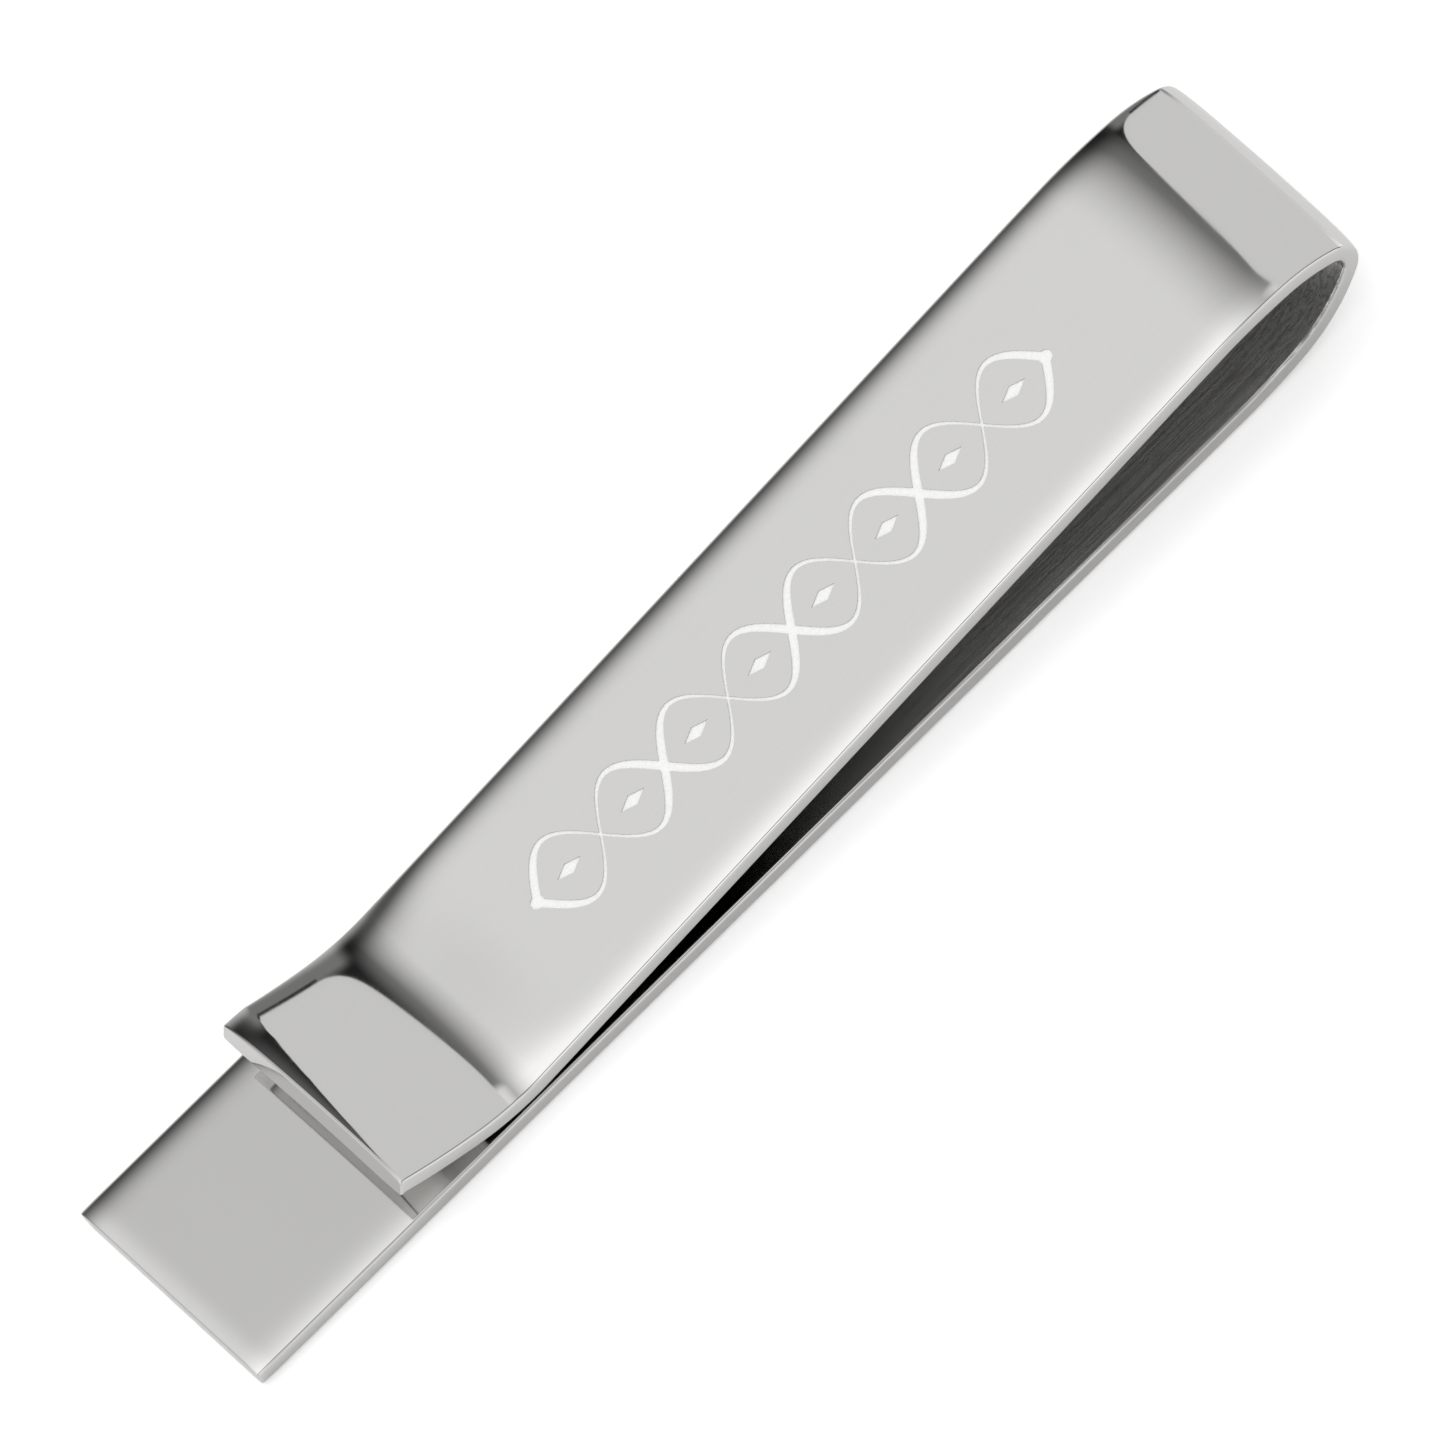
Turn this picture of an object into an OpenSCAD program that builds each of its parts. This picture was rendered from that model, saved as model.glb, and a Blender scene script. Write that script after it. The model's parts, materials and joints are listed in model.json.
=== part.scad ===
// Slide-on tie bar, folded from one strip of spring steel.
// The strip lies on its rear leaf: +X points to the bow, +Z to the front leaf, and the
// origin is under the middle of the clip. A section starts at a station [x, z, heading],
// on the strip's mid-plane, and the next section starts where it ends.

/* [Strip] */
// Overall length, from the rear leaf's tip to the outside of the bow
clip_l = 50.8; // [44:0.1:60]
// Width of the strip
strip_w = 9.25; // [6:0.1:14]
// Thickness of the strip
strip_t = 0.8; // [0.5:0.05:1]
// Radius on the strip's four long edges
edge_r = 0.14; // [0.05:0.01:0.2]

/* [Bow] */
// Mid-plane radius of the slow sweeps that lead into the bow
sweep_r = 17; // [12:0.5:40]
// Angle of the sweep on the rear leaf
rear_sweep_a = 9; // [6:0.5:12]
// Mid-plane radius of the rear shoulder
rear_shoulder_r = 5.5; // [4:0.1:7]
// Angle of the rear shoulder
rear_shoulder_a = 36; // [30:0.5:44]
// Mid-plane radius of the nose, where the strip turns back
nose_r = 0.8; // [0.7:0.05:1.2]
// Mid-plane radius of the front shoulder
front_shoulder_r = 5.2; // [4:0.1:7]
// Angle of the front shoulder
front_shoulder_a = 22.5; // [18:0.5:30]
// Angle of the sweep on the front leaf
front_sweep_a = 9.5; // [6:0.5:12]

/* [Front leaf] */
// Slope of the front leaf, down towards the lip
leaf_slope = 4.85; // [4.5:0.05:6]
// Clearance between the leaves where they pinch, with nothing in the clip
pinch_gap = 0.05; // [0.02:0.01:0.3]

/* [Lip] */
// Mid-plane radius of the bend between the front leaf and the lip
lip_bend_r = 8; // [4:0.5:10]
// Slope of the lip where it leaves that bend, up from the rear leaf
lip_rise = 16; // [10:1:24]
// Mid-plane radius of the lip, which curls up slowly
lip_r = 22; // [15:1:40]
// Angle of the lip's curl
lip_curl_a = 8.5; // [4:0.5:12]

/* [Engraving] */
// Length of the engraved band
band_l = 24; // [10:0.5:28]
// Height of the engraved band, between the crests
band_h = 3; // [1:0.1:5]
// Waves along the band
band_waves = 4; // [2:1:6]
// Widest part of the cut line
line_wide = 0.32; // [0.2:0.02:0.5]
// Narrowest part of the cut line
line_thin = 0.1; // [0.06:0.02:0.2]
// Depth of the cut below the face
cut_depth = 0.08; // [0.04:0.01:0.15]
// Thickness of the frosted floor in the cut
frost_t = 0.04; // [0.02:0.01:0.06]

/* [Hidden] */
$fn = 96;

STEEL = [0.78, 0.78, 0.77];
SHADED_STEEL = [0.66, 0.66, 0.66];
FROST = [0.95, 0.95, 0.94];
WAVE_STEPS = 16; // straight steps in each wave of the band
RHOMB_L = 1.1; // length of a rhomb inside an eye of the band
RHOMB_H = 0.5; // height of that rhomb

// The nose turns the strip through whatever the other bends leave of the fold.
nose_a = 180 + leaf_slope - rear_sweep_a - rear_shoulder_a - front_shoulder_a - front_sweep_a;
// It's split where it faces along +X, on the plane of the hinge that stands for its flexing.
rear_nose_a = 90 - rear_sweep_a - rear_shoulder_a;
front_nose_a = nose_a - rear_nose_a;

// Station at the end of a flat of length l
function flat_end(s, l) = [s[0] + l * cos(s[2]), s[1] + l * sin(s[2]), s[2]];
// Centre of a bend of radius r: a positive angle turns towards +Z, from a heading of +X
function bend_centre(s, r, a) = [s[0] - sign(a) * r * sin(s[2]), s[1] + sign(a) * r * cos(s[2])];
// Station at the end of a bend of radius r through angle a
function bend_end(s, r, a) =
    let (c = bend_centre(s, r, a), h = s[2] + a)
    [c[0] + sign(a) * r * sin(h), c[1] - sign(a) * r * cos(h), h];

// How far the bow reaches past the rear leaf's flat
bow_reach = sweep_r * sin(rear_sweep_a)
    + rear_shoulder_r * (sin(rear_sweep_a + rear_shoulder_a) - sin(rear_sweep_a))
    + nose_r * (1 - sin(rear_sweep_a + rear_shoulder_a)) + strip_t / 2;
rear_leaf_l = clip_l - bow_reach;

// Stations, named after the section that starts there
at_rear_leaf = [-clip_l / 2, strip_t / 2, 0];
at_rear_sweep = flat_end(at_rear_leaf, rear_leaf_l);
at_rear_shoulder = bend_end(at_rear_sweep, sweep_r, rear_sweep_a);
at_rear_nose = bend_end(at_rear_shoulder, rear_shoulder_r, rear_shoulder_a);
at_front_nose = bend_end(at_rear_nose, nose_r, rear_nose_a);
at_front_shoulder = bend_end(at_front_nose, nose_r, front_nose_a);
at_front_sweep = bend_end(at_front_shoulder, front_shoulder_r, front_shoulder_a);
at_front_leaf = bend_end(at_front_sweep, sweep_r, front_sweep_a);

// The lip bend's lowest line clears the rear leaf by pinch_gap, and so sets the leaf's length.
lip_bend_z = strip_t * 1.5 + pinch_gap + lip_bend_r * (1 - cos(leaf_slope));
front_leaf_l = (at_front_leaf[1] - lip_bend_z) / sin(leaf_slope);
at_lip_bend = flat_end(at_front_leaf, front_leaf_l);
at_lip = bend_end(at_lip_bend, lip_bend_r, -leaf_slope - lip_rise);

// Cross-section of the strip, width along X and thickness along Y
module section() {
    square([strip_w - 2 * edge_r, strip_t], center = true);
    square([strip_w, strip_t - 2 * edge_r], center = true);
    for (x = [-1, 1], y = [-1, 1])
        translate([x * (strip_w / 2 - edge_r), y * (strip_t / 2 - edge_r)]) circle(edge_r);
}

// Moves to a station: local X runs along the strip and local Z to the inside of the fold
module at_station(s) {
    translate([s[0], 0, s[1]]) rotate([0, -s[2], 0]) children();
}

// A flat section of length l
module strip_flat(s, l) {
    at_station(s) rotate([90, 0, 90]) linear_extrude(l) section();
}

// A bent section of mid-plane radius r through angle a
module strip_bend(s, r, a) {
    c = bend_centre(s, r, a);
    start = a > 0 ? s[2] - 90 : s[2] + a + 90;
    translate([c[0], 0, c[1]]) rotate([90, 0, 0]) rotate([0, 0, start])
        rotate_extrude(angle = abs(a)) translate([r, 0]) rotate(90) section();
}

// Half the width of the cut line at phase p: wide on one slope of a wave, thin on the other
function half_line(p) = (line_thin + (line_wide - line_thin) * (1 + cos(p)) / 2) / 2;
// Point on one edge of a wave, e = 1 above and -1 below, at a fraction f of the band
function wave_edge(f, e) =
    let (
        p = 360 * band_waves * f,
        slope = band_h / 2 * band_waves * 2 * PI / band_l * cos(p),
        reach = e * half_line(p) / sqrt(1 + slope * slope)
    )
    [(f - 0.5) * band_l - reach * slope, band_h / 2 * sin(p) + reach];

// One wave of the band, as a closed outline
module wave() {
    n = band_waves * WAVE_STEPS;
    polygon(concat(
        [for (i = [0 : n]) wave_edge(i / n, 1)],
        [for (i = [n : -1 : 0]) wave_edge(i / n, -1)]
    ));
}

// The engraved band: two crossed waves, a rhomb in each eye and a dot at each end
module band() {
    eye_l = band_l / band_waves / 2;
    wave();
    mirror([0, 1]) wave();
    for (i = [0 : 2 * band_waves - 1])
        translate([(i + 0.5) * eye_l - band_l / 2, 0])
            polygon([[-RHOMB_L / 2, 0], [0, -RHOMB_H / 2], [RHOMB_L / 2, 0], [0, RHOMB_H / 2]]);
    for (x = [-1, 1])
        translate([x * band_l / 2, 0]) circle(line_wide * 0.8);
}

// A layer of the band in the middle of the front leaf, from depth d to depth d - h
module band_layer(d, h) {
    at_station(at_front_leaf) translate([front_leaf_l / 2, 0, d - h - strip_t / 2])
        linear_extrude(h) band();
}

// Longer leaf, which lies behind the tie and carries the whole clip on a flat face
module rear_leaf() {
    color(STEEL) strip_flat(at_rear_leaf, rear_leaf_l);
}

// Slow sweep from the rear leaf into the bow
module rear_sweep() {
    color(STEEL) strip_bend(at_rear_sweep, sweep_r, rear_sweep_a);
}

// Larger bend at the back of the teardrop
module rear_shoulder() {
    color(SHADED_STEEL) strip_bend(at_rear_shoulder, rear_shoulder_r, rear_shoulder_a);
}

// Rear half of the tight turn at the end of the clip
module rear_nose() {
    color(SHADED_STEEL) strip_bend(at_rear_nose, nose_r, rear_nose_a);
}

// Front half of the tight turn, which swings with the front leaf
module front_nose() {
    color(SHADED_STEEL) strip_bend(at_front_nose, nose_r, front_nose_a);
}

// Larger bend at the front of the teardrop
module front_shoulder() {
    color(STEEL) strip_bend(at_front_shoulder, front_shoulder_r, front_shoulder_a);
}

// Slow sweep from the bow into the front leaf
module front_sweep() {
    color(STEEL) strip_bend(at_front_sweep, sweep_r, front_sweep_a);
}

// Front leaf, which shows on the tie, with the band cut into its face
module front_leaf() {
    color(STEEL) difference() {
        strip_flat(at_front_leaf, front_leaf_l);
        band_layer(cut_depth, 2 * cut_depth);
    }
}

// Small bend that presses the cloth against the rear leaf
module lip_bend() {
    color(STEEL) strip_bend(at_lip_bend, lip_bend_r, -leaf_slope - lip_rise);
}

// Raised lip that leads the cloth in
module lip() {
    color(STEEL) strip_bend(at_lip, lip_r, -lip_curl_a);
}

// Frosted floor of the cut
module engraving() {
    color(FROST) band_layer(cut_depth, frost_t);
}

rear_leaf();
rear_sweep();
rear_shoulder();
rear_nose();
front_nose();
front_shoulder();
front_sweep();
front_leaf();
lip_bend();
lip();
engraving();
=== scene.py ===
"""Studio scene of a slide-on tie bar folded from one strip of polished spring steel.

The strip is made as the real one is: a flat blank with rolled edges is cut, engraved with an
ornamental band, and then folded by a Geometry Nodes tree, one bend after another. Lengths of
the blank are in millimetres. The last step of each tree brings them to metres in the frame.
"""

from __future__ import annotations

import json
import logging
import math
from dataclasses import dataclass, field
from enum import Enum
from typing import Any, ClassVar, Optional

import bmesh
import bpy
from mathutils import Matrix, Vector
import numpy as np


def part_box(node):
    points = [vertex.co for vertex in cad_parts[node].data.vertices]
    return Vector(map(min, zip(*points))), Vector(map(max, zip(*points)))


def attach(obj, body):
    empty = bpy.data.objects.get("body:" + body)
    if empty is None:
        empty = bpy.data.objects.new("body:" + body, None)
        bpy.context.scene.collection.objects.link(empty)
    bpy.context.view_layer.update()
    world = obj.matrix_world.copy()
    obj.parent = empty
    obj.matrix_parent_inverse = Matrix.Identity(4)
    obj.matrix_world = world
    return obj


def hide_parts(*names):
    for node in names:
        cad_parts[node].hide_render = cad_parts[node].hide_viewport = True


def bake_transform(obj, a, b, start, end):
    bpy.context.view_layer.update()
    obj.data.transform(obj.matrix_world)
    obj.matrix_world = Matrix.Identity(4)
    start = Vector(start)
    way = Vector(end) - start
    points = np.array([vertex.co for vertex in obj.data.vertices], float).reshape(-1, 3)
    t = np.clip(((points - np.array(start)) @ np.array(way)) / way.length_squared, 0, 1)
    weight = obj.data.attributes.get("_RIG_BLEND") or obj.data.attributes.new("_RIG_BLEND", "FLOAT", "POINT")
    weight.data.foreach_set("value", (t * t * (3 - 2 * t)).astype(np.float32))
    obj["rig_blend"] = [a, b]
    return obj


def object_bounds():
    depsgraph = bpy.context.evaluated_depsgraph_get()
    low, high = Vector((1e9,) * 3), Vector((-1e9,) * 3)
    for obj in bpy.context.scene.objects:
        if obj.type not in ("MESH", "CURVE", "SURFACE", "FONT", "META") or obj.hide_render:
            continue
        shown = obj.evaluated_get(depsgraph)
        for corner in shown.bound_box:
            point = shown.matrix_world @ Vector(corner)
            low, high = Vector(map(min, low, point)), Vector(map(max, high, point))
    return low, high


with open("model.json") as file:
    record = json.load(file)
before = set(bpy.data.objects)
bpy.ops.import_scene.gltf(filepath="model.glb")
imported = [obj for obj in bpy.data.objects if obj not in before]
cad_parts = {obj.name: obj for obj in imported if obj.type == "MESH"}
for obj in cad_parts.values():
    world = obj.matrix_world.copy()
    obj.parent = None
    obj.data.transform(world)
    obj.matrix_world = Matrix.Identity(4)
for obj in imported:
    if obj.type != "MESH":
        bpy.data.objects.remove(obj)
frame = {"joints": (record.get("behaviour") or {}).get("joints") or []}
CAD_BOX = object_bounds()

LOG = logging.getLogger("tie_bar")
MM = 0.001
Step = tuple[float, float, float, float]


class Body(Enum):
    """Rigid bodies of the frame that pieces ride on."""

    REAR = "rear"
    FRONT = "front"


class Slot(Enum):
    """Material slots of the record."""

    POLISHED = "polished_steel"
    BOW = "bow_steel"
    FROSTED = "frosted_cut"


class BandUse(Enum):
    """What is made of the engraved band's solids, as a Mesh Boolean's operation."""

    FLOOR = "UNION"
    CUT = "DIFFERENCE"


# --------------------------------------------------------------------------- node trees


class TreeBuilder:
    """Adds and links the nodes of one tree, laid out in rows as they are made."""

    ROW: ClassVar[int] = 12

    def __init__(self, tree: bpy.types.NodeTree) -> None:
        """Starts on an empty or a fresh tree.

        Args:
            tree: The node tree to fill.
        """
        self.tree = tree
        self.count = 0

    def add(self, kind: str, inputs: Optional[dict] = None, **settings: Any) -> bpy.types.Node:
        """Adds a node.

        Args:
            kind: The node's type name.
            inputs: Values or output sockets, by input name or index.
            **settings: Properties to set on the node, before its inputs.

        Returns:
            The new node.
        """
        node = self.tree.nodes.new(kind)
        node.location = (220 * (self.count % self.ROW), -260 * (self.count // self.ROW))
        self.count += 1
        for name, value in settings.items():
            setattr(node, name, value)
        for key, value in (inputs or {}).items():
            self.feed(node.inputs[key], value)
        return node

    def out(self, kind: str, inputs: Optional[dict] = None, **settings: Any) -> Any:
        """Adds a node as add does, and returns its first output."""
        return self.add(kind, inputs, **settings).outputs[0]

    def feed(self, socket: bpy.types.NodeSocket, value: Any) -> None:
        """Links an output socket, or each of a list of them, or sets a plain value."""
        if isinstance(value, bpy.types.NodeSocket):
            self.tree.links.new(value, socket)
        elif isinstance(value, list):
            for item in value:
                self.tree.links.new(item, socket)
        else:
            socket.default_value = value

    def math(self, operation: str, a: Any, b: Any = 0.0, c: Any = 0.0) -> Any:
        """Adds a Math node and returns its value."""
        return self.out("ShaderNodeMath", {0: a, 1: b, 2: c}, operation=operation)

    def vector(self, x: Any = 0.0, y: Any = 0.0, z: Any = 0.0) -> Any:
        """Adds a Combine XYZ node and returns its vector."""
        return self.out("ShaderNodeCombineXYZ", {0: x, 1: y, 2: z})

    def split(self, vector: Any) -> Any:
        """Adds a Separate XYZ node and returns its three outputs."""
        return self.add("ShaderNodeSeparateXYZ", {0: vector}).outputs

    def vector_math(self, operation: str, a: Any, b: Any) -> Any:
        """Adds a Vector Math node and returns its vector."""
        return self.out("ShaderNodeVectorMath", {0: a, 1: b}, operation=operation)

    def ramp(self, value: Any, low: Any, high: Any, to_low: float = 0.0, to_high: float = 1.0) -> Any:
        """Adds a smooth Map Range from low..high to to_low..to_high and returns its value."""
        inputs = {0: value, 1: low, 2: high, 3: to_low, 4: to_high}
        return self.out("ShaderNodeMapRange", inputs, interpolation_type="SMOOTHSTEP")


def new_socket(tree: bpy.types.NodeTree, name: str, kind: str, out: bool = False, value: Any = None) -> Any:
    """Adds a socket to a tree's interface.

    Args:
        tree: The tree.
        name: The socket's name.
        kind: The last word of the socket's type, such as Float.
        out: True for an output.
        value: Its default value, if it has one.

    Returns:
        The interface item, which holds the socket's identifier.
    """
    item = tree.interface.new_socket(
        name, in_out="OUTPUT" if out else "INPUT", socket_type="NodeSocket" + kind
    )
    if value is not None:
        item.default_value = value
    return item


def new_group(name: str, kind: str, inputs: dict[str, Any]) -> tuple[bpy.types.NodeTree, TreeBuilder, Any]:
    """Makes a node group with named inputs.

    Args:
        name: The group's name.
        kind: The first word of the tree's type, Geometry or Shader.
        inputs: Default value of each number, or the type of another input, by name.

    Returns:
        The group, a builder for it, and the sockets of its Group Input node.
    """
    tree = bpy.data.node_groups.new(name, kind + "NodeTree")
    for word, value in inputs.items():
        if isinstance(value, str):
            new_socket(tree, word, value)
        else:
            new_socket(tree, word, "Float", value=float(value))
    b = TreeBuilder(tree)
    return tree, b, b.add("NodeGroupInput").outputs


def new_material(name: str) -> tuple[bpy.types.Material, TreeBuilder]:
    """Makes a material with an empty tree, and a builder for that tree."""
    material = bpy.data.materials.new(name)
    material.use_nodes = True
    material.node_tree.nodes.clear()
    return material, TreeBuilder(material.node_tree)


def to_object(name: str, bm: bmesh.types.BMesh) -> bpy.types.Object:
    """Makes an object in the scene from a bmesh, which is freed."""
    mesh = bpy.data.meshes.new(name)
    bm.to_mesh(mesh)
    bm.free()
    made = bpy.data.objects.new(name, mesh)
    bpy.context.scene.collection.objects.link(made)
    return made


# --------------------------------------------------------------------------- finishes


def surface_marks_group() -> bpy.types.NodeTree:
    """Builds the shader group for what handling and polishing leave on steel.

    Returns:
        A group with a smudge mask, a fine streak mask along X and a height for bump.
    """
    inputs = {"Vector": "Vector", "Smudge scale": 260.0, "Streak scale": 9000.0, "Streak length": 40.0}
    tree, b, given = new_group("surface_marks", "Shader", inputs)
    for word in ("Smudge", "Streak", "Height"):
        new_socket(tree, word, "Float", out=True)
    smudge = b.add(
        "ShaderNodeTexNoise",
        {"Vector": given["Vector"], "Scale": given["Smudge scale"], "Detail": 5.0, "Roughness": 0.6},
    ).outputs["Fac"]
    squeeze = b.vector(b.math("DIVIDE", 1.0, given["Streak length"]), 1.0, 1.0)
    stretched = b.vector_math("MULTIPLY", given["Vector"], squeeze)
    streak = b.add(
        "ShaderNodeTexNoise",
        {"Vector": stretched, "Scale": given["Streak scale"], "Detail": 3.0, "Roughness": 0.55},
    ).outputs["Fac"]
    mixed = b.math("ADD", b.math("MULTIPLY", streak, 0.7), b.math("MULTIPLY", smudge, 0.3))
    b.add(
        "NodeGroupOutput",
        {"Smudge": b.ramp(smudge, 0.35, 0.7), "Streak": b.ramp(streak, 0.3, 0.7), "Height": mixed},
    )
    return tree


@dataclass(frozen=True)
class Finish:
    """A steel finish, with marks that vary its colour, roughness and relief.

    Attributes:
        name: The material's name.
        colour: Reflectance at normal incidence, or the diffuse colour.
        metallic: 1 for bare steel and less for a frosted cut.
        roughness: Roughness between the marks.
        smudge: How much the smudges add to the roughness.
        streak: How much the fine streaks add to the roughness.
        shade: How much the streaks darken the colour.
        relief: Height of the marks, in metres.
        streak_scale: Streaks per metre across the grain.
        streak_length: Streak length as a multiple of its width.
        polished: Where along X the marks have been polished away, and where they are whole again,
            in metres. None leaves them whole everywhere.
    """

    name: str
    colour: tuple[float, float, float]
    metallic: float = 1.0
    roughness: float = 0.04
    smudge: float = 0.03
    streak: float = 0.0
    shade: float = 0.01
    relief: float = 1e-8
    streak_scale: float = 9000.0
    streak_length: float = 40.0
    polished: Optional[tuple[float, float]] = None

    def build(self, marks: bpy.types.NodeTree) -> bpy.types.Material:
        """Makes the material.

        Args:
            marks: The shared surface_marks group.

        Returns:
            The new material.
        """
        material, b = new_material(self.name)
        material.diffuse_color = (*self.colour, 1.0)
        place = b.add("ShaderNodeTexCoord").outputs["Object"]
        group = b.add("ShaderNodeGroup", node_tree=marks)
        b.feed(group.inputs["Vector"], place)
        b.feed(group.inputs["Streak scale"], self.streak_scale)
        b.feed(group.inputs["Streak length"], self.streak_length)
        left: Any = 1.0
        bright: Any = (*self.colour, 1.0)
        bare: Any = self.metallic
        if self.polished:
            left = b.ramp(b.split(place)["X"], *self.polished)
            mirror = {"Factor": left, "A": (*POLISHED.colour, 1.0), "B": bright}
            bright = b.add("ShaderNodeMix", mirror, data_type="RGBA").outputs["Result"]
            bare = b.math("MULTIPLY_ADD", left, self.metallic - 1.0, 1.0)
        streak = b.math("MULTIPLY", group.outputs["Streak"], left)
        spare = self.roughness - Finish.roughness
        rough = b.math("MULTIPLY_ADD", left, spare, Finish.roughness)
        rough = b.math("MULTIPLY_ADD", group.outputs["Smudge"], self.smudge, rough)
        rough = b.math("MULTIPLY_ADD", streak, self.streak, rough)
        dark = tuple(c * (1.0 - self.shade) for c in self.colour)
        tint = b.add(
            "ShaderNodeMix", {"Factor": streak, "A": bright, "B": (*dark, 1.0)}, data_type="RGBA"
        )
        height = b.math("MULTIPLY", group.outputs["Height"], left)
        bump = b.add("ShaderNodeBump", {"Strength": 0.5, "Distance": self.relief, "Height": height})
        shader = b.add(
            "ShaderNodeBsdfPrincipled",
            {
                "Base Color": tint.outputs["Result"],
                "Metallic": bare,
                "Roughness": rough,
                "Normal": bump.outputs["Normal"],
            },
        )
        b.add("ShaderNodeOutputMaterial", {"Surface": shader.outputs[0]})
        return material


POLISHED = Finish("polished_steel", (0.66, 0.655, 0.645))
DRAWN = Finish(
    "drawn_steel", (0.66, 0.655, 0.645), metallic=0.8, roughness=0.16, smudge=0.05, streak=0.16, shade=0.5,
    relief=1.5e-6, polished=(-0.004, 0.012),
)
FROSTED = Finish(
    "frosted_cut", (0.93, 0.93, 0.92), metallic=0.0, roughness=0.6, smudge=0.1, streak=0.1, shade=0.08,
    relief=4e-6, streak_scale=16000.0, streak_length=2.0,
)


@dataclass(frozen=True)
class Finishes:
    """The materials of the clip."""

    polished: bpy.types.Material
    drawn: bpy.types.Material
    frosted: bpy.types.Material

    @staticmethod
    def build() -> Finishes:
        """Makes every material of the clip on one shared group."""
        marks = surface_marks_group()
        return Finishes(POLISHED.build(marks), DRAWN.build(marks), FROSTED.build(marks))


# --------------------------------------------------------------------------- the strip


@dataclass(frozen=True)
class Bend:
    """One bend of the strip.

    Attributes:
        name: What it is called.
        radius: Radius of the strip's mid-plane, in mm.
        angle: Angle it turns through, in degrees, positive towards the inside of the fold.
    """

    name: str
    radius: float
    angle: float

    @property
    def length(self) -> float:
        """Length of strip that the bend takes up, in mm."""
        return self.radius * math.radians(abs(self.angle))


@dataclass
class StripPlan:
    """Sizes of the folded strip, and where each bend starts along the flat blank.

    Attributes:
        length: Overall length of the folded clip.
        width: Width of the strip.
        thickness: Thickness of the strip.
        rear_leaf: Length of the rear leaf's flat.
        front_leaf: Length of the front leaf's flat.
        bow: The bends of the bow, from the rear leaf to the front leaf.
        lip: The bend that turns up to the lip, and the slow curl of the lip itself.
    """

    length: float
    width: float
    thickness: float
    rear_leaf: float
    front_leaf: float
    bow: tuple[Bend, ...]
    lip: tuple[Bend, ...]

    @staticmethod
    def from_frame() -> StripPlan:
        """Works out the plan from the frame's boxes and the clip's bend radii and angles."""
        low, high = CAD_BOX
        rear_low, rear_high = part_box("rear_leaf")
        slope, rise, curl = 4.85, 16.0, 8.5
        turned = (9.0, 36.0, 22.5, 9.5)
        bow = (
            Bend("rear sweep", 17.0, turned[0]),
            Bend("rear shoulder", 5.5, turned[1]),
            Bend("nose", 0.8, 180.0 + slope - sum(turned)),
            Bend("front shoulder", 5.2, turned[2]),
            Bend("front sweep", 17.0, turned[3]),
        )
        thickness = (rear_high.z - rear_low.z) / MM
        leaf_low, leaf_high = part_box("front_leaf")
        shadow = (leaf_high.x - leaf_low.x) / MM
        tilt = math.radians(slope)
        return StripPlan(
            length=(high.x - low.x) / MM,
            width=(rear_high.y - rear_low.y) / MM,
            thickness=thickness,
            rear_leaf=(rear_high.x - rear_low.x) / MM,
            front_leaf=(shadow - thickness * math.sin(tilt)) / math.cos(tilt),
            bow=bow,
            lip=(Bend("lip bend", 8.0, -slope - rise), Bend("lip curl", 22.0, -curl)),
        )

    def bends(self) -> list[tuple[Bend, float]]:
        """Lists every bend with where it starts along the blank, from the rear leaf's tip."""
        placed, along = [], self.rear_leaf
        for bend in self.bow:
            placed.append((bend, along))
            along += bend.length
        along += self.front_leaf
        for bend in self.lip:
            placed.append((bend, along))
            along += bend.length
        return placed

    @property
    def bow_end(self) -> float:
        """Where the bow ends along the blank."""
        return self.rear_leaf + sum(bend.length for bend in self.bow)

    @property
    def total(self) -> float:
        """Length of the flat blank."""
        return self.bow_end + self.front_leaf + sum(bend.length for bend in self.lip)


@dataclass(frozen=True)
class EdgeForm:
    """How polishing rolls the strip's faces over at their edges.

    Attributes:
        radius: Radius of the long edges.
        crown: How far a face falls away at its long edges.
        crown_power: How close to the edge the fall is: higher is closer.
        end_slope: Slope that the strip has rolled over to at a free end, in degrees.
        end_reach: How far from a free end that slope starts, at the -Y and at the +Y corner.
        end_power: How close to the end the roll is: higher is closer.
        end_fall: How far each face falls away besides at a free end.
        end_radius: Radius of a free end's own edges.
    """

    radius: float = 0.14
    crown: float = 0.0865
    crown_power: float = 7.0
    end_slope: float = 0.0
    end_reach: tuple[float, float] = (1.0, 1.0)
    end_power: float = 3.0
    end_fall: float = 0.03
    end_radius: float = 0.07


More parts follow.
